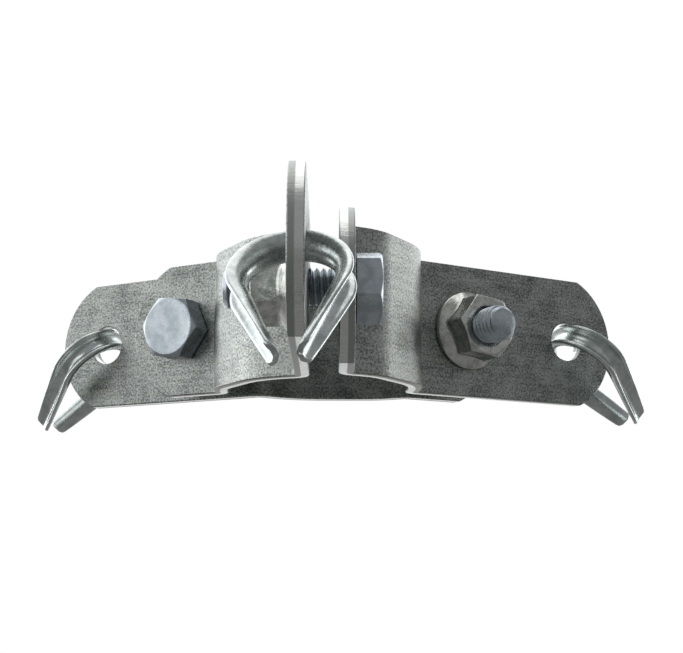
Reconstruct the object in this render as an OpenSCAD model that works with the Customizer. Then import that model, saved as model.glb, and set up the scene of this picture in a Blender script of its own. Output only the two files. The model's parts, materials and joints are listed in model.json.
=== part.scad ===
// Three-way guy-rope clamp for a round mast.
// Three bent strip segments close round the mast. Each segment starts with a
// short flange and ends with a long ear. At each of the three joints the short
// flange of one segment and the long ear of the next stand side by side, with
// a bolt and a flange nut across the gap. A rope thimble hangs in each ear.
//
// Frame: +Z up along the mast, origin on the mast axis at half the strip's
// height, front joint towards -Y. Millimetres.

/* [Mast and strip] */
// Diameter of the mast that the segments grip
mast_d = 36; // [32:1:42]
// Height of the strip, along the mast
strip_w = 30; // [26:1:36]
// Thickness of the galvanised sheet
sheet_t = 3; // [2.5:0.5:4]
// Inside radius of the bends at the foot of each flange
root_r = 1.2; // [1:0.1:3]
// Inside radius of the rounded shoulder beside the short flange
shoulder_r = 12; // [6:1:14]
// How far the shoulder stands off the mast
shoulder_gap = 3.2; // [2.4:0.1:3.6]

/* [Flanges] */
// Gap between the short flange and the long ear at each joint
joint_gap = 5.7; // [3:0.1:7]
// From the mast's surface to the bolt's axis
bolt_out = 16.2; // [15.5:0.1:18]
// From the mast's surface to the end of the short flange
short_out = 29.6; // [28:0.1:31]
// From the mast's surface to the end of the long ear
ear_out = 58.7; // [54:0.1:64]
// Radius of the arc that ends each flange
end_r = 16.5; // [15.5:0.1:30]
// Diameter of the bolt holes
bolt_hole_d = 9; // [8.5:0.1:10]
// Diameter of the eye hole that holds the thimble
eye_d = 9; // [8.6:0.1:10]
// From the ear's end to the centre of its eye hole
eye_back = 13.5; // [12.5:0.1:15]

/* [Bolts and nuts] */
// Thread size of the bolts
thread_d = 8; // [7:0.5:8]
// Length of the bolts under the head
bolt_len = 25; // [25:1:35]
// Size across the flats of bolt heads and nuts
across_flats = 13; // [12:0.5:14]
// Height of the bolt heads
head_h = 5.3; // [4.5:0.1:6.5]
// Height of the flange nuts
nut_h = 8; // [7:0.5:9]
// Diameter of the nuts' flanges
nut_flange_d = 17.9; // [17:0.1:19]

/* [Thimbles] */
// Rope diameter that the thimble's groove fits
rope_d = 4; // [3:0.5:4]
// Thickness of the thimble's sheet
thimble_t = 1; // [0.8:0.1:1.2]
// Depth of the groove from the rims to the outside of its floor
groove_depth = 3.3; // [3.1:0.1:3.6]
// Width of the thimble's eye at its round end
thimble_eye_w = 14.6; // [14:0.1:15.4]
// Length of the eye, from the round end to the tips
thimble_eye_len = 26.6; // [25:0.1:28]
// Gap between the two tips
tip_gap = 2.6; // [2:0.1:3]
// How far each thimble hangs off the middle of its ear
thimble_shift = 0.8; // [0:0.1:1.5]
// How far the front thimble hangs below the horizontal
hang_front = 48; // [30:1:70]
// How far the right thimble hangs below the horizontal
hang_right = 40; // [30:1:70]
// How far the left thimble hangs below the horizontal
hang_left = 44; // [30:1:70]

/* [Hidden] */
$fn = 96;

// Directions of the three joints round the mast
front_at = -90;
joint_step = 120;
right_at = front_at + joint_step;
left_at = right_at + joint_step;

// How the bolt heads and nuts happen to stand when tight: angle of one corner
head_turn_front = 20;
head_turn_right = 12;
head_turn_left = -6;
nut_turn_front = 25;
nut_turn_right = -8;
nut_turn_left = 14;

// How far the front thimble is twisted about its own length
twist_front = 6.5;

// Radii from the mast's axis
mast_r = mast_d / 2;
bolt_at = mast_r + bolt_out;
short_end = mast_r + short_out;
ear_end = mast_r + ear_out;
eye_at = ear_end - eye_back;
shoulder_in = mast_r + shoulder_gap;

// Directions of the straight walls, from the joint that each leads to
shoulder_lean = 30;   // wall at the foot of the short flange
run_lean = 59;        // wall between shoulder and mast
neck_lean = 24;       // wall at the foot of the long ear

// Faces of the two flanges, from the joint's middle plane
flange_in = joint_gap / 2;
flange_out = flange_in + sheet_t;
ear_mid = -(flange_in + flange_out) / 2;

// Bolt and nut details
thread_play = 0.05;   // radial play of the thread in the nut
thread_pitch = 1.25;
head_face_d = 11.6;   // round bearing face under the head
head_face_h = 0.3;
chamfer_slope = 0.5;  // rise over run of the chamfers on the hexagons
nut_flange_edge = 1;  // height of the flange's edge
nut_flange_rise = 2.7;
nut_flange_neck_r = across_flats / 2 + 0.2;
nut_mouth = 0.6;      // chamfer at both ends of the nut's thread

// Thimble details
groove_r = rope_d / 2;
channel_r = groove_r + thimble_t;
crown_r = thimble_eye_w / 2;
eye_r = eye_d / 2;
rim_r = crown_r + groove_depth;
seat_play = 0.15;
seat_side = sheet_t / 2 + thimble_shift;
tip_taper = 4.7;      // how much the rims close in on the floor along each leg
// The crown's rims rest on the mast side of the eye hole: distance from the
// hole's centre to the crown's centre, for a thimble twisted by so much
function crown_at(twist) =
    rim_r - sqrt(pow(eye_r - seat_play, 2) - pow(channel_r + seat_side * sin(twist), 2));
// The legs leave the round end as tangents that meet the tips
tip_reach = thimble_eye_len - crown_r;
tip_dist = norm([tip_reach, tip_gap / 2]);
leg_len = sqrt(pow(tip_dist, 2) - pow(crown_r, 2));
// To a tenth of a degree, so that both legs meet the crown face to face in the exact solids
leg_lean = round(10 * (90 - acos(crown_r / tip_dist) - atan2(tip_gap / 2, tip_reach))) / 10;

over = 1;             // how far cutters run past what they cut
bend_lap = 0.2;       // how far each bend runs into the walls beside it
bend_swell = 0.02;    // how far a bend stands proud of the walls beside it

// The grip stands proud of the walls beside it, so it alone touches the mast
grip_in = mast_r + bend_swell;

function unit(angle) = [cos(angle), sin(angle)];
function along(angle) = [-sin(angle), cos(angle)];
// Point at distance d1 along direction a1 and at distance d2 along direction a2
function meet(a1, d1, a2, d2) =
    (d1 * [sin(a2), -cos(a2)] - d2 * [sin(a1), -cos(a1)]) / sin(a2 - a1);

// Bend of the sheet round the origin, from one angle to another less than 180
// further on; r_in is the radius at which the walls beside it would touch
module bend(r_in, from, to) {
    r_out = r_in + sheet_t;
    lap = bend_lap / r_out * 180 / PI;
    far = 2 * r_out;
    intersection() {
        difference() {
            circle(r = r_out + bend_swell);
            circle(r = r_in - bend_swell);
        }
        polygon([[0, 0], far * unit(from - lap), far * unit((from + to) / 2),
            far * unit(to + lap)]);
    }
}

// Straight wall: its inner face is dist from the axis along direction lean
module wall(lean, dist, from, to) {
    rotate(lean) translate([dist, from]) square([sheet_t, to - from]);
}

// Centre of the bend at the foot of a flange
function root_centre(lean, dist) =
    meet(lean, dist + sheet_t + root_r, 90, flange_out + root_r);

// Flange, the bend at its foot and the wall up to the place called stop
module flange_profile(lean, dist, stop, reach) {
    c = root_centre(lean, dist);
    translate([c.x, flange_in]) square([reach - c.x, sheet_t]);
    translate(c) bend(root_r, 180 + lean, 270);
    wall(lean, dist, c * along(lean), stop);
}

// Section of one segment, with the joint of its short flange at angle 0 and
// the joint of its long ear at joint_step
module segment_profile() {
    shoulder_c = meet(shoulder_lean, shoulder_in - shoulder_r, run_lean, grip_in - shoulder_r);
    flange_profile(shoulder_lean, shoulder_in, shoulder_c * along(shoulder_lean), short_end);
    translate(shoulder_c) bend(shoulder_r, shoulder_lean, run_lean);
    wall(run_lean, grip_in, shoulder_c * along(run_lean), 0);
    bend(grip_in, run_lean, joint_step - neck_lean);
    rotate(joint_step) mirror([0, 1]) flange_profile(neck_lean, grip_in, 0, ear_end);
}

// Takes the corners off a flange so that it ends in an arc at reach
module end_cut(reach) {
    difference() {
        translate([reach - end_r, -flange_out - over, -strip_w])
            cube([2 * end_r, 2 * (flange_out + over), 2 * strip_w]);
        translate([reach - end_r, 0, 0]) rotate([90, 0, 0])
            cylinder(r = end_r, h = 4 * (flange_out + over), center = true);
    }
}

// Hole through a flange, across the joint's middle plane
module cross_hole(at, d) {
    translate([at, 0, 0]) rotate([90, 0, 0])
        cylinder(d = d, h = 2 * (flange_out + over), center = true);
}

// One segment, with the joint of its short flange in direction start
module segment(start) {
    color("darkgray") rotate([0, 0, start]) difference() {
        translate([0, 0, -strip_w / 2]) linear_extrude(height = strip_w) segment_profile();
        end_cut(short_end);
        cross_hole(bolt_at, bolt_hole_d);
        rotate([0, 0, joint_step]) {
            end_cut(ear_end);
            cross_hole(bolt_at, bolt_hole_d);
            cross_hole(eye_at, eye_d);
        }
    }
}

// Hexagonal prism with chamfered corners at its top, and at its foot if asked
module hexagon(height, foot_chamfer) {
    corner = across_flats / cos(30) / 2;
    flat = across_flats / 2 - 0.2;
    drop = (corner - flat) * chamfer_slope;
    foot = foot_chamfer ? drop : 0;
    intersection() {
        cylinder(r = corner, h = height, $fn = 6);
        rotate_extrude() polygon([[0, 0],
            [foot_chamfer ? flat : corner, 0], [corner, foot],
            [corner, height - drop], [flat, height], [0, height]]);
    }
}

// Bolt along Z, with its bearing face at the origin and its head above
module bolt(turn) {
    thread_r = thread_d / 2;
    tip = thread_pitch * 0.8;
    color("lightsteelblue") {
        translate([0, 0, head_face_h]) rotate([0, 0, turn])
            hexagon(head_h - head_face_h, false);
        rotate_extrude() polygon([[0, -bolt_len], [thread_r - tip, -bolt_len],
            [thread_r, -bolt_len + tip], [thread_r, 0],
            [head_face_d / 2, 0], [head_face_d / 2, head_face_h], [0, head_face_h]]);
    }
}

// Flange nut along Z, with its bearing face at the origin and its hexagon above
module flange_nut(turn) {
    bore_r = thread_d / 2 + thread_play;
    flange_r = nut_flange_d / 2;
    color("silver") difference() {
        union() {
            rotate([0, 0, turn]) hexagon(nut_h, false);
            rotate_extrude() polygon([[0, 0], [flange_r, 0], [flange_r, nut_flange_edge],
                [nut_flange_neck_r, nut_flange_rise], [0, nut_flange_rise]]);
        }
        translate([0, 0, -over]) cylinder(r = bore_r, h = nut_h + 2 * over);
        translate([0, 0, nut_h - nut_mouth])
            cylinder(r1 = bore_r, r2 = bore_r + nut_mouth, h = nut_mouth);
        cylinder(r1 = bore_r + nut_mouth, r2 = bore_r, h = nut_mouth);
    }
}

// Section of the thimble's channel: x runs out of the eye, the floor is at x = 0
module channel_profile() {
    intersection() {
        translate([channel_r, 0]) difference() {
            circle(r = channel_r);
            circle(r = groove_r);
        }
        translate([0, -channel_r]) square([channel_r, 2 * channel_r]);
    }
    for (side = [-1, 1])
        translate([channel_r, side * (groove_r + thimble_t / 2) - thimble_t / 2])
            square([groove_depth - channel_r, thimble_t]);
}

// Thimble in the XY plane, with the centre of its round end at the origin and
// its tips towards +X
module thimble() {
    turn = 90 - leg_lean;
    color("gainsboro") {
        rotate([0, 0, turn]) rotate_extrude(angle = 360 - 2 * turn)
            translate([crown_r, 0]) channel_profile();
        for (side = [0, 1]) mirror([0, side, 0]) rotate([0, 0, turn]) rotate([90, 0, 0])
            difference() {
                linear_extrude(height = leg_len) translate([crown_r, 0]) channel_profile();
                translate([rim_r, -channel_r - over, 0]) rotate([0, -tip_taper, 0])
                    cube([groove_depth, 2 * (channel_r + over), leg_len + over]);
            }
    }
}

// Places a bolt, a nut or a thimble at the joint in direction at
module bolt_in_joint(at, turn) {
    rotate([0, 0, at]) translate([bolt_at, flange_out, 0]) rotate([-90, 0, 0]) bolt(turn);
}
module nut_in_joint(at, turn) {
    rotate([0, 0, at]) translate([bolt_at, -flange_out, 0]) rotate([90, 0, 0])
        flange_nut(turn);
}
module thimble_in_ear(at, hang, twist) {
    rotate([0, 0, at]) translate([eye_at, ear_mid - thimble_shift, 0])
        rotate([twist, hang, 0]) translate([crown_at(twist), 0, 0]) thimble();
}

module segment_back() { segment(right_at); }
module segment_front_left() { segment(left_at); }
module segment_front_right() { segment(front_at); }
module bolt_front() { bolt_in_joint(front_at, head_turn_front); }
module bolt_right() { bolt_in_joint(right_at, head_turn_right); }
module bolt_left() { bolt_in_joint(left_at, head_turn_left); }
module flange_nut_front() { nut_in_joint(front_at, nut_turn_front); }
module flange_nut_right() { nut_in_joint(right_at, nut_turn_right); }
module flange_nut_left() { nut_in_joint(left_at, nut_turn_left); }
module thimble_front() { thimble_in_ear(front_at, hang_front, twist_front); }
module thimble_right() { thimble_in_ear(right_at, hang_right, 0); }
module thimble_left() { thimble_in_ear(left_at, hang_left, 0); }

segment_back();
segment_front_left();
segment_front_right();
bolt_front();
bolt_right();
bolt_left();
flange_nut_front();
flange_nut_right();
flange_nut_left();
thimble_front();
thimble_right();
thimble_left();
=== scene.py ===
# %% [markdown]
# # A three-way guy-rope clamp for a mast
#
# Three pieces of galvanised steel strip close round a mast. At each of the
# three joints a short flange and a long ear stand side by side, and an M8 bolt
# with a flange nut pulls them together. Each ear has an eye with a rope
# thimble in it, where a guy rope is tied on.
#
# This lesson starts from the exact solids that the clamp was packed into, and
# dresses them: each piece is made again the way a workshop would make it, with
# edges, threads and folds that a plain solid lacks, and then gets its metal.

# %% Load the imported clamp
import json
import math

import bmesh
import bpy
from mathutils import Matrix, Vector

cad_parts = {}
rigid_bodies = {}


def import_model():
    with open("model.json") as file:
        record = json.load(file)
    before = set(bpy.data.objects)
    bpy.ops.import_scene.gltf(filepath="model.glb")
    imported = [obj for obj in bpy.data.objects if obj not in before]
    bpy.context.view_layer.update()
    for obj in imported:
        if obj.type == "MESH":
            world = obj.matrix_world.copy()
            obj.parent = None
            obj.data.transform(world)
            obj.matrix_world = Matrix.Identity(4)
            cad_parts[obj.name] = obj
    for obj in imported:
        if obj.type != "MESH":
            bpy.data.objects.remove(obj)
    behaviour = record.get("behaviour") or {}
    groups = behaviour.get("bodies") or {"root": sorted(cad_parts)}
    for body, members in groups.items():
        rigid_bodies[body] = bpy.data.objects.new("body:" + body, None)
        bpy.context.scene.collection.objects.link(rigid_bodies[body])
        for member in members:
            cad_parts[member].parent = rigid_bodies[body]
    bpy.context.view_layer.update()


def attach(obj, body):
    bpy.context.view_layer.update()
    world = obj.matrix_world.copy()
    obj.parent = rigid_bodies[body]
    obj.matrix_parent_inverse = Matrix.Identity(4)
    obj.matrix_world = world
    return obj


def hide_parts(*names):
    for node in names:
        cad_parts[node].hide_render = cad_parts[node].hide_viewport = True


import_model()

# %% [markdown]
# ## One unit and three joints
#
# A workshop drawing of such a clamp is in millimetres, and Blender works in
# metres, so every mesh is built in millimetres and scaled once, when it is
# made. The three joints stand 120 degrees apart round the mast. Everything
# that belongs to a joint is drawn with the joint on the X axis and is then
# turned to its place: X runs outward, Y across the joint, Z up the mast.

# %% Sizes that the pieces share
MM = 0.001
JOINT_AT = {"front": -90, "right": 30, "left": 150}
MAST_R = 18.0
STRIP_W = 30.0
STRIP_T = 3.0
JOINT_GAP = 5.7
BOLT_AT = MAST_R + 16.2
SHORT_END = MAST_R + 29.6
EAR_END = MAST_R + 58.7
EYE_AT = EAR_END - 13.5
HOLE_R = 4.5
FLANGE_IN = JOINT_GAP / 2
FLANGE_OUT = FLANGE_IN + STRIP_T


def turned(degrees):
    """Turn about the mast's axis."""
    return Matrix.Rotation(math.radians(degrees), 4, "Z")


print("bolts stand", BOLT_AT, "mm from the axis, eyes", EYE_AT, "mm")

# %% [markdown]
# ## Colours and nodes
#
# Paint charts and screens give colours as sRGB hex values, but a renderer adds
# up light, so each value is turned to linear light by one function. A second
# small function adds a node to a material, sets its inputs and links it, so
# that a material below reads like a recipe.

# %% Colour and node helpers


def linear(hex_colour):
    """sRGB hex to linear RGBA."""
    channels = [int(hex_colour[i:i + 2], 16) / 255 for i in (1, 3, 5)]
    return [c / 12.92 if c <= 0.04045 else ((c + 0.055) / 1.055) ** 2.4 for c in channels] + [1.0]


def add(tree, kind, inputs=None, **settings):
    """Adds a node. An input is a value or another node's output."""
    made = tree.nodes.new(kind)
    for name, value in settings.items():
        setattr(made, name, value)
    for name, value in (inputs or {}).items():
        if isinstance(value, bpy.types.NodeSocket):
            tree.links.new(value, made.inputs[name])
        else:
            made.inputs[name].default_value = value
    return made


def shade(ramp, stops):
    """Sets the stops of a colour ramp: (position, grey level)."""
    points = ramp.color_ramp.elements
    while len(points) < len(stops):
        points.new(0.5)
    for point, (place, level) in zip(points, stops):
        point.position = place
        point.color = (level, level, level, 1)
    return ramp


def new_metal(name):
    """An empty metal: its node tree and its shader, fully metallic."""
    metal = bpy.data.materials.new(name)
    metal.use_nodes = True
    shader = metal.node_tree.nodes["Principled BSDF"]
    shader.inputs["Metallic"].default_value = 1.0
    return metal, metal.node_tree, shader


print("mid grey:", [round(c, 3) for c in linear("#808080")])

# %% [markdown]
# ## Metal 1: dull galvanised strip
#
# The segments are hot-dip galvanised mild steel strip that has weathered. A
# fresh zinc coat is bright with large crystals, and in the open it turns to a
# dull grey zinc carbonate. So the metal is rough, its grey is broken up by a
# fine grain of about half a millimetre, and there are wider clouds and faint
# streaks along the strip from the rolls. The streaks follow the strip through
# its bends because they use the flat blank's own coordinates, in millimetres.

# %% Galvanised sheet


def galvanised_sheet():
    metal, tree, shader = new_metal("galvanised_mild_steel")
    blank = add(tree, "ShaderNodeUVMap", uv_map="blank_mm")
    grain = add(tree, "ShaderNodeTexNoise", {
        "Vector": blank.outputs["UV"], "Scale": 2.2, "Detail": 3.0, "Roughness": 0.7,
        "Lacunarity": 2.0, "Distortion": 0.0})
    clouds = add(tree, "ShaderNodeTexNoise", {
        "Vector": blank.outputs["UV"], "Scale": 0.16, "Detail": 4.0, "Roughness": 0.6,
        "Lacunarity": 2.1, "Distortion": 0.4})
    along_strip = add(tree, "ShaderNodeMapping", {
        "Vector": blank.outputs["UV"], "Scale": (0.03, 1.3, 1.0)})
    streaks = add(tree, "ShaderNodeTexNoise", {
        "Vector": along_strip.outputs["Vector"], "Scale": 1.0, "Detail": 3.0,
        "Roughness": 0.6, "Lacunarity": 2.2, "Distortion": 0.1})
    mix_one = add(tree, "ShaderNodeMix", {
        0: 0.30, 2: grain.outputs["Fac"], 3: clouds.outputs["Fac"]}, data_type="FLOAT")
    mix_two = add(tree, "ShaderNodeMix", {
        0: 0.12, 2: mix_one.outputs[0], 3: streaks.outputs["Fac"]}, data_type="FLOAT")
    tone = add(tree, "ShaderNodeValToRGB", {"Fac": mix_two.outputs[0]})
    ends = tone.color_ramp.elements
    ends[0].position, ends[0].color = 0.42, linear("#666a67")
    ends[1].position, ends[1].color = 0.58, linear("#c2c5c1")
    rough = shade(add(tree, "ShaderNodeValToRGB", {"Fac": clouds.outputs["Fac"]}), [
        (0.35, 0.34), (0.65, 0.46)])
    bump = add(tree, "ShaderNodeBump", {
        "Height": mix_one.outputs[0], "Strength": 0.35, "Distance": 0.12 * MM})
    tree.links.new(tone.outputs["Color"], shader.inputs["Base Color"])
    tree.links.new(rough.outputs["Color"], shader.inputs["Roughness"])
    tree.links.new(bump.outputs["Normal"], shader.inputs["Normal"])
    return metal


# %% [markdown]
# ## Metal 2: the sheared edge of the strip
#
# The strip was sheared and punched, and a cut edge is never as smooth as the
# face. Where the tool entered it is burnished and bright, and where the steel
# tore away it is rougher and darker. Both lie as two bands along the edge, and
# fine scores run across it.

# %% Sheared edge


def sheared_edge():
    metal, tree, shader = new_metal("sheared_galvanised_edge")
    place = add(tree, "ShaderNodeUVMap", uv_map="blank_mm")
    scored = add(tree, "ShaderNodeMapping", {"Vector": place.outputs["UV"], "Scale": (2.5, 0.3, 1)})
    scores = add(tree, "ShaderNodeTexNoise", {
        "Vector": scored.outputs["Vector"], "Scale": 1.0, "Detail": 3.0, "Roughness": 0.65})
    depth = add(tree, "ShaderNodeAttribute", attribute_name="sheet_depth")
    torn = shade(add(tree, "ShaderNodeValToRGB", {"Fac": depth.outputs["Fac"]}), [
        (0.52, 0.0), (0.62, 1.0)])
    uneven = add(tree, "ShaderNodeMath", {0: scores.outputs["Fac"], 1: 0.55}, operation="MULTIPLY")
    band = add(tree, "ShaderNodeMath", {
        0: torn.outputs["Color"], 1: uneven.outputs[0]}, operation="ADD", use_clamp=True)
    tone = add(tree, "ShaderNodeValToRGB", {"Fac": band.outputs[0]})
    ends = tone.color_ramp.elements
    ends[0].position, ends[0].color = 0.15, linear("#e6e8e5")
    ends[1].position, ends[1].color = 1.0, linear("#a9aca8")
    rough = shade(add(tree, "ShaderNodeValToRGB", {"Fac": band.outputs[0]}), [
        (0.2, 0.26), (1.0, 0.45)])
    bump = add(tree, "ShaderNodeBump", {
        "Height": scores.outputs["Fac"], "Strength": 0.5, "Distance": 0.15 * MM})
    tree.links.new(tone.outputs["Color"], shader.inputs["Base Color"])
    tree.links.new(rough.outputs["Color"], shader.inputs["Roughness"])
    tree.links.new(bump.outputs["Normal"], shader.inputs["Normal"])
    return metal


SHEET = galvanised_sheet()
EDGE = sheared_edge()
print("made", SHEET.name, "and", EDGE.name)

# %% [markdown]
# ## Metal 3: zinc-plated fasteners
#
# Bolts and nuts are cold-forged steel with a thin electroplated zinc coat and
# a clear blue passivation. It is much smoother than the dipped strip, so it
# mirrors the room softly, and the passivation gives it a cool tint. Handling
# and the tumbling barrel leave small dents and dull spots of a few tenths of a
# millimetre, drawn here at about 0.6 mm so that they show.

# %% Plated steel


def plated_steel(name, pale, deep, smooth, worn, cloud_mm, dent):
    metal, tree, shader = new_metal(name)
    place = add(tree, "ShaderNodeTexCoord")
    clouds = add(tree, "ShaderNodeTexNoise", {
        "Vector": place.outputs["Object"], "Scale": 1 / (cloud_mm * MM), "Detail": 3.0,
        "Roughness": 0.6, "Distortion": 0.3})
    spots = add(tree, "ShaderNodeTexNoise", {
        "Vector": place.outputs["Object"], "Scale": 1 / (0.6 * MM), "Detail": 2.0,
        "Roughness": 0.6})
    tone = add(tree, "ShaderNodeValToRGB", {"Fac": clouds.outputs["Fac"]})
    ends = tone.color_ramp.elements
    ends[0].position, ends[0].color = 0.38, linear(deep)
    ends[1].position, ends[1].color = 0.62, linear(pale)
    rough = shade(add(tree, "ShaderNodeValToRGB", {"Fac": spots.outputs["Fac"]}), [
        (0.35, smooth), (0.7, worn)])
    both = add(tree, "ShaderNodeMix", {
        0: 0.35, 2: clouds.outputs["Fac"], 3: spots.outputs["Fac"]}, data_type="FLOAT")
    bump = add(tree, "ShaderNodeBump", {
        "Height": both.outputs[0], "Strength": dent, "Distance": 0.2 * MM})
    tree.links.new(tone.outputs["Color"], shader.inputs["Base Color"])
    tree.links.new(rough.outputs["Color"], shader.inputs["Roughness"])
    tree.links.new(bump.outputs["Normal"], shader.inputs["Normal"])
    return metal


BOLT_METAL = plated_steel("blue_zinc_plated_bolt_steel", "#c3cbd0", "#a8b1b7", 0.24, 0.38, 3.0, 0.22)
NUT_METAL = plated_steel("clear_zinc_plated_nut_steel", "#dcddd9", "#b2b4ae", 0.16, 0.30, 2.0, 0.40)
THIMBLE_METAL = plated_steel("bright_zinc_plated_thimble", "#dde2e0", "#b9c0be", 0.20, 0.34, 4.0, 0.30)
print("made", BOLT_METAL.name, NUT_METAL.name, THIMBLE_METAL.name)

# %% [markdown]
# ## Turning points and faces into a piece
#
# All pieces are made from lists of points and faces. The helper scales them to
# metres, turns them to their joint, puts the piece on the body that it moves
# with, and says which solid it stands for. The solid itself stays in the
# motion model, where it is used for contact.

# %% Piece helper


def new_piece(name, points, faces, place, metals, body):
    mesh = bpy.data.meshes.new(name)
    mesh.from_pydata([Vector(p) for p in points], [], faces)
    mesh.validate()
    mesh.transform(Matrix.Scale(MM, 4) @ place)
    piece = bpy.data.objects.new("dressed_" + name, mesh)
    bpy.context.scene.collection.objects.link(piece)
    for metal in metals:
        mesh.materials.append(metal)
    dress(piece, name, body)
    return piece


def dress(piece, name, body):
    piece.data.polygons.foreach_set("use_smooth", [True] * len(piece.data.polygons))
    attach(piece, body)
    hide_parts(name)


def soften(piece, width_mm, above_degrees, steps=2):
    """Rounds the sharp edges, and shades each flat face as flat."""
    bevel = piece.modifiers.new("worn_edges", "BEVEL")
    bevel.width = width_mm * MM
    bevel.segments = steps
    bevel.limit_method = "ANGLE"
    bevel.angle_limit = math.radians(above_degrees)
    bevel.harden_normals = False
    weights = piece.modifiers.new("flat_faces_stay_flat", "WEIGHTED_NORMAL")
    weights.keep_sharp = True


def grid_faces(rings, per_ring, closed):
    """Faces between rings of points that each close on themselves."""
    faces = []
    for i in range(rings if closed else rings - 1):
        here, there = i * per_ring, ((i + 1) % rings) * per_ring
        for k in range(per_ring):
            after = (k + 1) % per_ring
            faces.append((here + k, here + after, there + after, there + k))
    return faces


# %% [markdown]
# ## The strip: blank, punch, bend
#
# A real segment is a length of flat strip. Its corners are cut to an arc at
# both ends, the holes are punched, and then it is bent over formers. The same
# order works well here. The flat blank is a plate with cross cuts only where
# it will bend. Punching is a boolean with round tools, and the cut edges are
# rounded while the blank is still flat, where a bevel is easy. Then every
# point is carried along the bend path, so the bends are true arcs and the
# sheet keeps its thickness.
#
# The path is found as a drawing office would: the straight parts meet arcs as
# tangents, so each straight length follows from where the arcs' centres lie.

# %% Lengths along the bent strip
ROOT_R = 1.2
SHOULDER_R = 12.0
SHOULDER_IN = MAST_R + 3.2
SHOULDER_LEAN, RUN_LEAN, NECK_LEAN = 30, 59, 24
END_R = 16.5
JOINT_STEP = 120
TOOL_PAST = 0.5       # how far a die runs past the strip's sides
TOOL_HALF_H = 5       # half the height of a cutting tool


def meet(a1, d1, a2, d2):
    """Point at distance d1 along direction a1 and d2 along direction a2."""
    a1, a2 = math.radians(a1), math.radians(a2)
    span = math.sin(a2 - a1)
    return Vector((d1 * math.sin(a2) - d2 * math.sin(a1), d2 * math.cos(a1) - d1 * math.cos(a2))) / span


def along(degrees):
    """Direction along a wall that faces this way."""
    return Vector((-math.sin(math.radians(degrees)), math.cos(math.radians(degrees))))


def root_centre(lean, wall_at):
    """Centre of the tight bend at the foot of a flange."""
    return meet(lean, wall_at + STRIP_T + ROOT_R, 90, FLANGE_OUT + ROOT_R)


short_root = root_centre(SHOULDER_LEAN, SHOULDER_IN)
ear_root = root_centre(NECK_LEAN, MAST_R)
shoulder = meet(SHOULDER_LEAN, SHOULDER_IN - SHOULDER_R, RUN_LEAN, MAST_R - SHOULDER_R)
HALF_T = STRIP_T / 2

# Each step is (straight length, then bend angle, then bend radius at mid sheet)
BENDS = [
    (SHORT_END - short_root.x, SHOULDER_LEAN - 90, ROOT_R + HALF_T),
    ((shoulder - short_root).dot(along(SHOULDER_LEAN)), RUN_LEAN - SHOULDER_LEAN,
     SHOULDER_R + HALF_T),
    (-shoulder.dot(along(RUN_LEAN)), JOINT_STEP - NECK_LEAN - RUN_LEAN, MAST_R + HALF_T),
    (-ear_root.dot(along(NECK_LEAN)), NECK_LEAN - 90, ROOT_R + HALF_T),
    (EAR_END - ear_root.x, 0, 1.0)]
BLANK = sum(run + abs(math.radians(bend)) * radius for run, bend, radius in BENDS)
print("the flat blank is", round(BLANK, 2), "mm long")

# %% [markdown]
# The path function walks along the bends like a turtle and gives, for any
# distance along the blank, the point in the middle of the sheet and the
# heading there. Its last point must land on the end of the long ear, which is
# a good check that all five straight lengths are right.

# %% Walk along the bends


def strip_path(distance):
    """Middle of the sheet and heading at a distance along the blank."""
    spot, heading, left = Vector((SHORT_END, FLANGE_IN + HALF_T)), math.pi, distance
    for run, bend, radius in BENDS:
        step = min(left, run)
        spot = spot + step * Vector((math.cos(heading), math.sin(heading)))
        left -= step
        arc = abs(math.radians(bend)) * radius
        if left <= 0 or arc == 0:
            continue
        step = min(left, arc)
        side = 1 if bend > 0 else -1
        centre = spot + side * radius * Vector((-math.sin(heading), math.cos(heading)))
        turn = side * step / radius
        spot = centre + Matrix.Rotation(turn, 2) @ (spot - centre)
        heading += turn
        left -= step
    spot = spot + max(left, 0) * Vector((math.cos(heading), math.sin(heading)))
    return spot, heading


end, end_heading = strip_path(BLANK)
print("ear ends", round(end.length, 2), "mm out, heading", round(math.degrees(end_heading), 2))

# %% [markdown]
# ## Cutting the blank
#
# The plate is cut across every 3 degrees of bend. The tool that rounds each
# end is a big round die, and the bolt holes and the eye are punched with 9 mm
# punches. Blender's exact boolean does each cut as a press would.

# %% Cut and punch the flat blank


def cuts_along_blank():
    """Places where the plate needs a cross cut to bend smoothly."""
    places, at = [], 0.0
    for run, bend, radius in BENDS:
        at += run
        arc = abs(math.radians(bend)) * radius
        steps = max(int(abs(bend) / 3), 1) if bend else 0
        places += [at + arc * i / steps for i in range(steps + 1)] if steps else []
        at += arc
    return [0.0] + places + [BLANK]


def plate():
    """Flat plate: X along the blank, Y up the mast, Z through the sheet."""
    stations = cuts_along_blank()
    half_w = STRIP_W / 2
    corners = ((-half_w, -HALF_T), (half_w, -HALF_T), (half_w, HALF_T), (-half_w, HALF_T))
    points = [(x, y, z) for x in stations for y, z in corners]
    faces = grid_faces(len(stations), 4, closed=False)
    faces += [(3, 2, 1, 0), tuple(len(points) - 4 + k for k in range(4))]
    return points, faces


def round_punch(at, radius, sides=96):
    ring = [(at + radius * math.cos(2 * math.pi * k / sides),
             radius * math.sin(2 * math.pi * k / sides)) for k in range(sides)]
    points = [(x, y, z) for z in (-TOOL_HALF_H, TOOL_HALF_H) for x, y in ring]
    faces = grid_faces(2, sides, closed=False)
    faces += [tuple(reversed(range(sides))), tuple(range(sides, 2 * sides))]
    return points, faces


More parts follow.
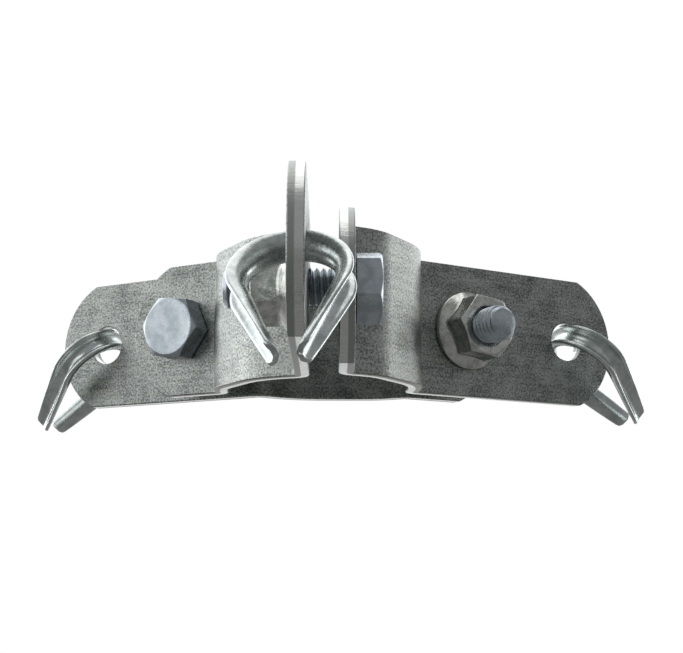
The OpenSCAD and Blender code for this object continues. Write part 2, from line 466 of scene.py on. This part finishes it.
def end_die(end_at, inward):
    """What an end cut removes: all beyond an arc of END_R."""
    centre = end_at + inward * END_R
    half_w = STRIP_W / 2 + TOOL_PAST
    sweep = math.asin(half_w / END_R)
    arc = [(centre - inward * END_R * math.cos(a), END_R * math.sin(a))
           for a in [sweep * (k / 24 - 1) for k in range(49)]]
    outline = arc + [(end_at - inward * 3, half_w), (end_at - inward * 3, -half_w)]
    points = [(x, y, z) for z in (-TOOL_HALF_H, TOOL_HALF_H) for x, y in outline]
    faces = grid_faces(2, len(outline), closed=False)
    faces += [tuple(reversed(range(len(outline)))), tuple(range(len(outline), 2 * len(outline)))]
    return points, faces


def flat_object(name, shape):
    mesh = bpy.data.meshes.new(name)
    mesh.from_pydata(shape[0], [], shape[1])
    tidy = bmesh.new()
    tidy.from_mesh(mesh)
    bmesh.ops.recalc_face_normals(tidy, faces=tidy.faces)
    tidy.to_mesh(mesh)
    tidy.free()
    made = bpy.data.objects.new(name, mesh)
    bpy.context.scene.collection.objects.link(made)
    return made


def punched_blank():
    """The flat blank's mesh, cut, punched and with its edges rounded."""
    blank = flat_object("blank", plate())
    eye_from_end = EAR_END - EYE_AT
    bolt_from_end = EAR_END - BOLT_AT
    tools = [end_die(0, 1), end_die(BLANK, -1), round_punch(SHORT_END - BOLT_AT, HOLE_R),
             round_punch(BLANK - bolt_from_end, HOLE_R), round_punch(BLANK - eye_from_end, HOLE_R)]
    for number, shape in enumerate(tools):
        tool = flat_object("tool_%d" % number, shape)
        cut = blank.modifiers.new("cut_%d" % number, "BOOLEAN")
        cut.operation, cut.solver, cut.object = "DIFFERENCE", "EXACT", tool
    edges = blank.modifiers.new("rolled_over_edges", "BEVEL")
    edges.width, edges.segments = 0.32, 3
    edges.limit_method, edges.angle_limit = "ANGLE", math.radians(40)
    view = bpy.context.evaluated_depsgraph_get()
    flat = bpy.data.meshes.new_from_object(blank.evaluated_get(view))
    for made in [blank] + [o for o in bpy.data.objects if o.name.startswith("tool_")]:
        bpy.data.objects.remove(made)
    return flat


FLAT = punched_blank()
print("punched blank:", len(FLAT.vertices), "points,", len(FLAT.polygons), "faces")

# %% [markdown]
# ## Bending the blank
#
# Each point keeps its height and its depth in the sheet, and its length along
# the blank becomes a place on the path. The flat coordinates are kept as a UV
# map in millimetres, moved on by a different amount for each segment so that
# no two have the same clouds in their zinc. The depth in the sheet is kept as
# an attribute, so the sheared edge knows where it is burnished and where it
# is torn. Faces that point sideways in the flat blank are the cut edges.

# %% Bend three segments
SEGMENTS = {
    "segment_back": ("right", "back_segment", "bolt_right"),
    "segment_front_left": ("left", "front_left_segment", "bolt_left"),
    "segment_front_right": ("front", "front_right_segment", "bolt_front")}


def bent(point):
    spot, heading = strip_path(point.x)
    across = Vector((-math.sin(heading), math.cos(heading)))
    return Vector((spot.x - point.z * across.x, spot.y - point.z * across.y, point.y))


def bend_segment(name, start, body, shift):
    mesh = FLAT.copy()
    mesh.name = name
    flat = [v.co.copy() for v in mesh.vertices]
    cut_edge = [abs(p.normal.z) < 0.7 for p in mesh.polygons]
    sheet_map = mesh.uv_layers.new(name="blank_mm")
    for loop in mesh.loops:
        at = flat[loop.vertex_index]
        sheet_map.data[loop.index].uv = (at.x + shift, at.y + at.z + shift * 0.37)
    depth = mesh.attributes.new("sheet_depth", "FLOAT", "POINT")
    depth.data.foreach_set("value", [(at.z + HALF_T) / STRIP_T for at in flat])
    for vertex, at in zip(mesh.vertices, flat):
        vertex.co = bent(at)
    mesh.materials.clear()
    mesh.materials.append(SHEET)
    mesh.materials.append(EDGE)
    mesh.polygons.foreach_set("material_index", [int(c) for c in cut_edge])
    mesh.transform(Matrix.Scale(MM, 4) @ turned(JOINT_AT[start]))
    piece = bpy.data.objects.new("dressed_" + name, mesh)
    bpy.context.scene.collection.objects.link(piece)
    dress(piece, name, body)
    piece.modifiers.new("flat_faces_stay_flat", "WEIGHTED_NORMAL")
    return piece


for number, (name, (start, body, _)) in enumerate(SEGMENTS.items()):
    segment = bend_segment(name, start, body, 190.0 * number)
    print(segment.name, "rides on", body)

# %% [markdown]
# ## Hexagons
#
# A bolt head or a nut is a hexagon whose top corners are turned off to a cone,
# which leaves a curved line on each flat. Drawn by angle this is one formula:
# at each angle the side lies at the hexagon's own radius, and it ends where
# the cone is at that radius. So the curves come out by themselves.

# %% Hexagon by angle
ACROSS_FLATS = 13.0
CHAMFER = 0.5
AROUND = 120


def hexagon_radius(angle, turn):
    """Radius of the hexagon in direction angle, with a corner at turn."""
    sixth = math.pi / 3
    off = (angle - math.radians(turn)) % sixth - sixth / 2
    return ACROSS_FLATS / 2 / math.cos(off)


def chamfer_drop(radius):
    """How far the cone at the top lies below the top face."""
    return max(radius - (ACROSS_FLATS / 2 - 0.2), 0) * CHAMFER


angles = [2 * math.pi * k / AROUND for k in range(AROUND)]
print("across corners:", round(2 * hexagon_radius(0, 0), 2), "mm")

# %% [markdown]
# ## The bolts
#
# An M8 bolt has a forged head and a rolled thread of 1.25 mm pitch. The head's
# face is left bare. The thread could be a stack of rings, but rings have no
# lead and give themselves away at the tip, so the shank is one grid whose
# radius follows a helix. The tip is turned to a cone before rolling, so there
# the thread fades out.

# %% Bolt head and thread
HEAD_H, HEAD_FACE_H, HEAD_FACE_R = 5.3, 0.3, 5.8
THREAD_R, BOLT_LEN, PITCH = 4.0, 25.0, 1.25
THREAD_DEPTH = 0.65
HEAD_TURN = {"front": 20, "right": 12, "left": -6}


def head_ring(radii_and_heights):
    """Rings of points round Z, one for each function of the angle."""
    return [(r * math.cos(a), r * math.sin(a), z)
            for radius, height in radii_and_heights
            for a in angles for r, z in [(radius(a), height(a))]]


def bolt_head(turn):
    """Closed hexagon head with a round bearing face."""
    flat_r = ACROSS_FLATS / 2 - 0.2

    def side(a):
        return hexagon_radius(a, turn)

    rings = [
        (lambda a: 2.0, lambda a: HEAD_H - 0.12),
        (lambda a: flat_r * 0.86, lambda a: HEAD_H - 0.1),
        (lambda a: flat_r * 0.93, lambda a: HEAD_H),
        (lambda a: flat_r, lambda a: HEAD_H),
        (side, lambda a: HEAD_H - chamfer_drop(side(a))),
        (side, lambda a: HEAD_FACE_H),
        (lambda a: HEAD_FACE_R, lambda a: HEAD_FACE_H),
        (lambda a: HEAD_FACE_R, lambda a: 0.0),
        (lambda a: 3.0, lambda a: 0.0)]
    points = head_ring(rings)
    faces = grid_faces(len(rings), AROUND, closed=False)
    faces += [tuple(reversed(range(AROUND))),
              tuple(range((len(rings) - 1) * AROUND, len(rings) * AROUND))]
    return points, [tuple(reversed(f)) for f in faces]


def thread_radius(angle, depth_below):
    """Radius of the rolled thread: rounded crests and roots on a helix."""
    phase = (depth_below / PITCH + angle / (2 * math.pi)) % 1
    wave = abs(phase - 0.5) * 2
    flank = min(max((wave - 0.12) / 0.70, 0), 1)
    rolled = THREAD_R - 0.02 - THREAD_DEPTH * flank
    to_tip = BOLT_LEN - depth_below
    return min(rolled, THREAD_R - 1.0 + to_tip)


def bolt_shank():
    """Threaded shank from the bearing face down to the tip."""
    sides, per_pitch = 64, 12
    rows = int(BOLT_LEN / PITCH * per_pitch)
    points = []
    for row in range(rows + 1):
        below = BOLT_LEN * row / rows
        for k in range(sides):
            a = 2 * math.pi * k / sides
            r = thread_radius(a, below)
            points.append((r * math.cos(a), r * math.sin(a), -below))
    faces = [tuple(reversed(f)) for f in grid_faces(rows + 1, sides, closed=False)]
    faces.append(tuple(range(sides)))
    faces.append(tuple(reversed(range(rows * sides, (rows + 1) * sides))))
    return points, faces


def bolt_place(joint):
    """The bolt's own axis, with the head outside the short flange."""
    return (turned(JOINT_AT[joint]) @ Matrix.Translation((BOLT_AT, FLANGE_OUT, 0))
            @ Matrix.Rotation(math.radians(-90), 4, "X"))


for name, (joint, body, bolt) in SEGMENTS.items():
    head_points, head_faces = bolt_head(HEAD_TURN[joint])
    head = new_piece(bolt, head_points, head_faces, bolt_place(joint), [BOLT_METAL],
                     body)
    soften(head, 0.16, 18)
    shank_points, shank_faces = bolt_shank()
    shank = new_piece(bolt, shank_points, shank_faces, bolt_place(joint), [BOLT_METAL],
                      body)
    shank.name = "thread_of_" + bolt
    print(head.name, "with", len(shank_points), "points of thread")

# %% [markdown]
# ## The flange nuts
#
# A flange nut has a broad skirt forged in one with its hexagon, so it needs no
# washer. At every angle its section is one closed loop: up the edge of the
# skirt, in over the cone to the hexagon, up the flat, over the chamfer, down
# the countersink into the bore and back out under the skirt. A loop for each
# angle makes the whole nut in one closed grid.

# %% Flange nut
NUT_H, SKIRT_R, SKIRT_EDGE, SKIRT_RISE = 8.0, 17.9 / 2, 1.0, 2.7
BORE_R, MOUTH = THREAD_R + 0.05, 0.6
NUT_TURN = {"front": 25, "right": -8, "left": 14}


def nut_section(angle, turn):
    """One closed loop of (radius, height) through the nut's wall."""
    side = hexagon_radius(angle, turn)
    top = NUT_H - chamfer_drop(side)
    neck_r = ACROSS_FLATS / 2 + 0.2
    slope = (SKIRT_RISE - SKIRT_EDGE) / (SKIRT_R - neck_r)
    foot = SKIRT_EDGE + (SKIRT_R - side) * slope
    return [
        (SKIRT_R - 0.35, 0.0), (SKIRT_R, 0.35), (SKIRT_R, SKIRT_EDGE - 0.25),
        (SKIRT_R - 0.25, SKIRT_EDGE + 0.1), (side + 0.45, foot - 0.45 * slope),
        (side + 0.12, foot + 0.02), (side, foot + 0.3), (side, top),
        (ACROSS_FLATS / 2 - 0.2, NUT_H), (BORE_R + MOUTH + 0.1, NUT_H),
        (BORE_R + MOUTH - 0.05, NUT_H - 0.08), (BORE_R, NUT_H - MOUTH),
        (BORE_R, MOUTH), (BORE_R + MOUTH, 0.0)]


def flange_nut(turn):
    loops = [nut_section(a, turn) for a in angles]
    points = [(r * math.cos(a), r * math.sin(a), z) for a, loop in zip(angles, loops) for r, z in loop]
    return points, grid_faces(AROUND, len(loops[0]), closed=True)


def nut_place(joint):
    """The nut's own axis, with its face on the long ear."""
    return (turned(JOINT_AT[joint]) @ Matrix.Translation((BOLT_AT, -FLANGE_OUT, 0))
            @ Matrix.Rotation(math.radians(90), 4, "X"))


for joint in JOINT_AT:
    points, faces = flange_nut(NUT_TURN[joint])
    nut = new_piece("flange_nut_" + joint, points, [tuple(reversed(f)) for f in faces],
                    nut_place(joint), [NUT_METAL], joint + "_nut")
    soften(nut, 0.14, 22)
    print(nut.name, "rides on", joint + "_nut")

# %% [markdown]
# ## The thimbles
#
# A thimble is a thin steel channel curled round into a pointed eye. The rope
# lies in its groove, which keeps the ear from cutting it. Its section is swept
# along the same path as in the real one: a straight leg, the round end, and
# the other leg. The rims of thin plated sheet are rounded, and they catch a
# bright line all the way round.

# %% Channel section and sweep
GROOVE_R, WALL, GROOVE_DEPTH = 2.0, 1.0, 3.3
CROWN_R, TIP_REACH, TIP_GAP = 7.3, 26.6 - 7.3, 2.6
SHIFT, PLAY = 0.8, 0.15
TIP_TAPER, TIP_CORNER = 4.7, 1.1
HANG = {"front": 48, "right": 40, "left": 44}
TWIST = {"front": 6.5, "right": 0, "left": 0}
tip_dist = math.hypot(TIP_REACH, TIP_GAP / 2)
LEG = math.sqrt(tip_dist ** 2 - CROWN_R ** 2)
LEG_LEAN = round(90 - math.degrees(math.acos(CROWN_R / tip_dist) + math.atan2(TIP_GAP / 2, TIP_REACH)), 1)


def arc_points(centre, radius, start, stop, steps):
    """Points (x, y) on an arc, in degrees."""
    return [(centre[0] + radius * math.cos(math.radians(start + (stop - start) * k / steps)),
             centre[1] + radius * math.sin(math.radians(start + (stop - start) * k / steps)))
            for k in range(steps + 1)]


def channel_loop(depth):
    """Closed section: X runs out of the eye, Y across the groove."""
    outer_r, rim = GROOVE_R + WALL, WALL / 2
    spread = math.degrees(math.acos(max(min((outer_r - depth + rim) / (outer_r - rim), 1), -1)))
    rim_at = Vector((math.cos(math.radians(180 - spread)), math.sin(math.radians(180 - spread))))
    centre = Vector((outer_r, 0)) + (outer_r - rim) * rim_at
    outward = 180 - spread
    floor_outside = arc_points((outer_r, 0), outer_r, 180 + spread, 180 - spread, 22)
    rim_up = arc_points(centre, rim, outward, outward - 180, 6)
    floor_inside = arc_points((outer_r, 0), GROOVE_R, 180 - spread, 180 + spread, 18)
    rim_down = [(x, -y) for x, y in reversed(rim_up)]
    return floor_outside + rim_up[1:-1] + floor_inside + rim_down[1:-1]


def channel_depth(reach):
    """The rims close in along each leg, and are rounded off at its end."""
    tapered = GROOVE_DEPTH - math.tan(math.radians(TIP_TAPER)) * reach
    into_corner = max(reach - (LEG - TIP_CORNER), 0)
    return tapered - (TIP_CORNER - math.sqrt(max(TIP_CORNER ** 2 - into_corner ** 2, 0)))


def thimble():
    """Channel swept from tip to tip round the crown; tips towards +X."""
    turn = 90 - LEG_LEAN
    reaches = [LEG * math.sin(math.pi / 2 * (1 - k / 12)) for k in range(12)]
    crown = [(turn + (360 - 2 * turn) * k / 64, 0.0) for k in range(65)]
    path = [(turn, reach) for reach in reaches] + crown
    path += [(-turn, -reach) for reach in reversed(reaches)]
    points = []
    for degrees, reach in path:
        a = math.radians(degrees)
        out = Vector((math.cos(a), math.sin(a)))
        ahead = Vector((math.sin(a), -math.cos(a)))
        section = channel_loop(channel_depth(abs(reach)))
        for x, y in section:
            spot = (CROWN_R + x) * out + reach * ahead
            points.append((spot.x, spot.y, y))
    faces = grid_faces(len(path), len(section), closed=False)
    faces += [tuple(reversed(range(len(section)))),
              tuple(range(len(points) - len(section), len(points)))]
    return points, faces


def thimble_place(joint):
    """Hung in the eye, with the crown's rims against its mast side."""
    side = (HALF_T + SHIFT) * math.sin(math.radians(TWIST[joint]))
    rim_r = CROWN_R + GROOVE_DEPTH
    crown_at = rim_r - math.sqrt((HOLE_R - PLAY) ** 2 - (GROOVE_R + WALL + side) ** 2)
    return (turned(JOINT_AT[joint])
            @ Matrix.Translation((EYE_AT, -(FLANGE_IN + FLANGE_OUT) / 2 - SHIFT, 0))
            @ Matrix.Rotation(math.radians(HANG[joint]), 4, "Y")
            @ Matrix.Rotation(math.radians(TWIST[joint]), 4, "X")
            @ Matrix.Translation((crown_at, 0, 0)))


for joint in JOINT_AT:
    points, faces = thimble()
    loop = new_piece("thimble_" + joint, points, faces, thimble_place(joint), [THIMBLE_METAL],
                     joint + "_thimble")
    soften(loop, 0.1, 60)
    print(loop.name, "has a leg", round(LEG, 2), "mm long")

# %% [markdown]
# ## Floor and backdrop
#
# A studio shoots such hardware over a white sweep. The floor is a wide disc a
# little below the clamp. The camera sees it white, with a faint shade of the
# matt paper right below the clamp. Metal shows whatever is round it: rays that
# leave the metal find the floor white behind the clamp and grey in front of
# it, which gives the polished pieces their contrast.

# %% White floor


def sweep_material():
    """White to the camera. In the metal it is white behind the clamp and grey in front."""
    paper = bpy.data.materials.new("white_sweep_paper")
    paper.use_nodes = True
    tree = paper.node_tree
    tree.nodes.clear()
    rays = add(tree, "ShaderNodeLightPath")
    place = add(tree, "ShaderNodeTexCoord")
    parts = add(tree, "ShaderNodeSeparateXYZ", {"Vector": place.outputs["Object"]})
    level = add(tree, "ShaderNodeMapRange", {
        "Value": parts.outputs["Y"], "From Min": 0.0, "From Max": 0.35, "To Min": 0.20, "To Max": 1.0},
        interpolation_type="SMOOTHSTEP")
    from_axis = add(tree, "ShaderNodeVectorMath", {0: place.outputs["Object"]}, operation="LENGTH")
    far = add(tree, "ShaderNodeMapRange", {
        "Value": from_axis.outputs["Value"], "From Min": 0.09, "From Max": 0.118,
        "To Min": 0.85, "To Max": 1.0}, interpolation_type="SMOOTHSTEP")
    matt = add(tree, "ShaderNodeBsdfDiffuse", {"Color": linear("#f4f4f3"), "Roughness": 1.0})
    white = add(tree, "ShaderNodeEmission", {"Color": (1, 1, 1, 1), "Strength": 1.0})
    glow = add(tree, "ShaderNodeEmission", {"Color": (1, 1, 1, 1), "Strength": level.outputs["Result"]})
    seen = add(tree, "ShaderNodeMath", {
        0: rays.outputs["Is Camera Ray"], 1: rays.outputs["Is Transmission Ray"]}, operation="MAXIMUM")
    lit = add(tree, "ShaderNodeMath", {
        0: seen.outputs[0], 1: far.outputs["Result"]}, operation="MULTIPLY")
    mirrored = add(tree, "ShaderNodeMixShader", {
        0: rays.outputs["Is Glossy Ray"], 1: matt.outputs[0], 2: glow.outputs[0]})
    both = add(tree, "ShaderNodeMixShader", {
        0: lit.outputs[0], 1: mirrored.outputs[0], 2: white.outputs[0]})
    out = add(tree, "ShaderNodeOutputMaterial")
    tree.links.new(both.outputs[0], out.inputs["Surface"])
    return paper


def white_floor(radius=2.2, height=-0.078, rings=10, sides=72):
    points = [(radius * (i / rings) ** 2 * math.cos(2 * math.pi * k / sides),
               radius * (i / rings) ** 2 * math.sin(2 * math.pi * k / sides), height)
              for i in range(1, rings + 1) for k in range(sides)]
    faces = grid_faces(rings, sides, closed=False) + [tuple(range(sides))]
    mesh = bpy.data.meshes.new("sweep")
    mesh.from_pydata(points, [], faces)
    mesh.materials.append(sweep_material())
    floor = bpy.data.objects.new("studio_floor", mesh)
    bpy.context.scene.collection.objects.link(floor)
    return floor


print(white_floor().name, "is stage, not part of the clamp")

# %% [markdown]
# ## The room
#
# The room is brightest behind the clamp and to the left, and darker overhead,
# to the right and on the side that the camera stands on, as in a real studio.
# Bare metal needs that contrast: in an all-white room it would look like grey
# plaster. The world's shader blends between the two by direction, and the
# camera itself always sees white.

# %% World light


def studio_room():
    world = bpy.data.worlds.new("studio_room")
    bpy.context.scene.world = world
    world.use_nodes = True
    tree = world.node_tree
    tree.nodes.clear()
    rays = add(tree, "ShaderNodeLightPath")
    way = add(tree, "ShaderNodeTexCoord")
    parts = add(tree, "ShaderNodeSeparateXYZ", {"Vector": way.outputs["Generated"]})
    lean = add(tree, "ShaderNodeMath", {0: parts.outputs["X"], 1: -0.50}, operation="MULTIPLY")
    low = add(tree, "ShaderNodeMath", {0: parts.outputs["Z"], 1: -0.45}, operation="MULTIPLY")
    side = add(tree, "ShaderNodeMath", {0: lean.outputs[0], 1: low.outputs[0]}, operation="ADD")
    back = add(tree, "ShaderNodeMath", {0: parts.outputs["Y"], 1: side.outputs[0]}, operation="ADD")
    blend = add(tree, "ShaderNodeMapRange", {
        "Value": back.outputs[0], "From Min": -0.25, "From Max": 0.35, "To Min": 0.31, "To Max": 1.8},
        interpolation_type="SMOOTHSTEP")
    room = add(tree, "ShaderNodeBackground", {
        "Color": linear("#f7f9fb"), "Strength": blend.outputs["Result"]})
    seen = add(tree, "ShaderNodeBackground", {"Color": (1, 1, 1, 1), "Strength": 1.0})
    both = add(tree, "ShaderNodeMixShader", {
        0: rays.outputs["Is Camera Ray"], 1: room.outputs[0], 2: seen.outputs[0]})
    out = add(tree, "ShaderNodeOutputWorld")
    tree.links.new(both.outputs[0], out.inputs["Surface"])
    return world


print(studio_room().name, "lit")

# %% [markdown]
# ## Lamps
#
# One large soft box stands to the front left, and a second hangs overhead. Two
# narrow upright strips stand at the sides, a little behind the clamp. The
# round walls turn away towards them, so each strip draws an upright bright
# band there, while the flat ears on the right stay dark.

# %% Soft boxes


def soft_box(name, place, aim, size, watts):
    lamp = bpy.data.lights.new(name, "AREA")
    lamp.shape, lamp.size, lamp.size_y, lamp.energy = "RECTANGLE", size[0], size[1], watts
    box = bpy.data.objects.new(name, lamp)
    box.location = place
    box.rotation_euler = (Vector(aim) - Vector(place)).to_track_quat("-Z", "Y").to_euler()
    bpy.context.scene.collection.objects.link(box)
    return box


soft_box("key_front_left", (-0.85, -0.75, 0.35), (0, 0, 0), (0.6, 0.9), 1.6)
soft_box("overhead", (0.0, 0.1, 1.1), (0, 0, 0), (0.9, 0.9), 2.5)
soft_box("strip_right", (0.9, 0.52, 0.0), (0, 0, 0), (0.24, 0.8), 1.2)
soft_box("strip_left", (-0.98, 0.38, 0.0), (0, 0, 0), (0.24, 0.8), 0.9)

# %% [markdown]
# ## Camera
#
# The camera stands in front of the clamp and a little below it, tilted up by
# about ten degrees, so the lower edges of the strip show. Its lens is a mild
# telephoto at close range. The rotation is built from its three directions,
# which is clearer than a set of Euler angles.

# %% Camera from its directions


def place_camera(where_mm, yaw, pitch, roll, lens):
    yaw, pitch, roll = (math.radians(a) for a in (yaw, pitch, roll))
    level = Vector((-math.sin(yaw), math.cos(yaw), 0))
    right = Vector((math.cos(yaw), math.sin(yaw), 0))
    up = Vector((0, 0, 1))
    ahead = level * math.cos(pitch) + up * math.sin(pitch)
    above = up * math.cos(pitch) - level * math.sin(pitch)
    side = right * math.cos(roll) + above * math.sin(roll)
    top = above * math.cos(roll) - right * math.sin(roll)
    data = bpy.data.cameras.new("camera")
    data.sensor_width, data.lens, data.clip_start = 36, lens, 0.01
    camera = bpy.data.objects.new("camera", data)
    turn = Matrix((side, top, -ahead)).transposed().to_4x4()
    camera.matrix_world = Matrix.Translation(Vector(where_mm) * MM) @ turn
    bpy.context.scene.collection.objects.link(camera)
    bpy.context.scene.camera = camera
    return camera


camera = place_camera((1.433, -272.10, -50.12), -0.468, 10.186, 0.122, 66.96)
bpy.context.scene.view_settings.view_transform = "Standard"
print("camera at", [round(c, 3) for c in camera.location])
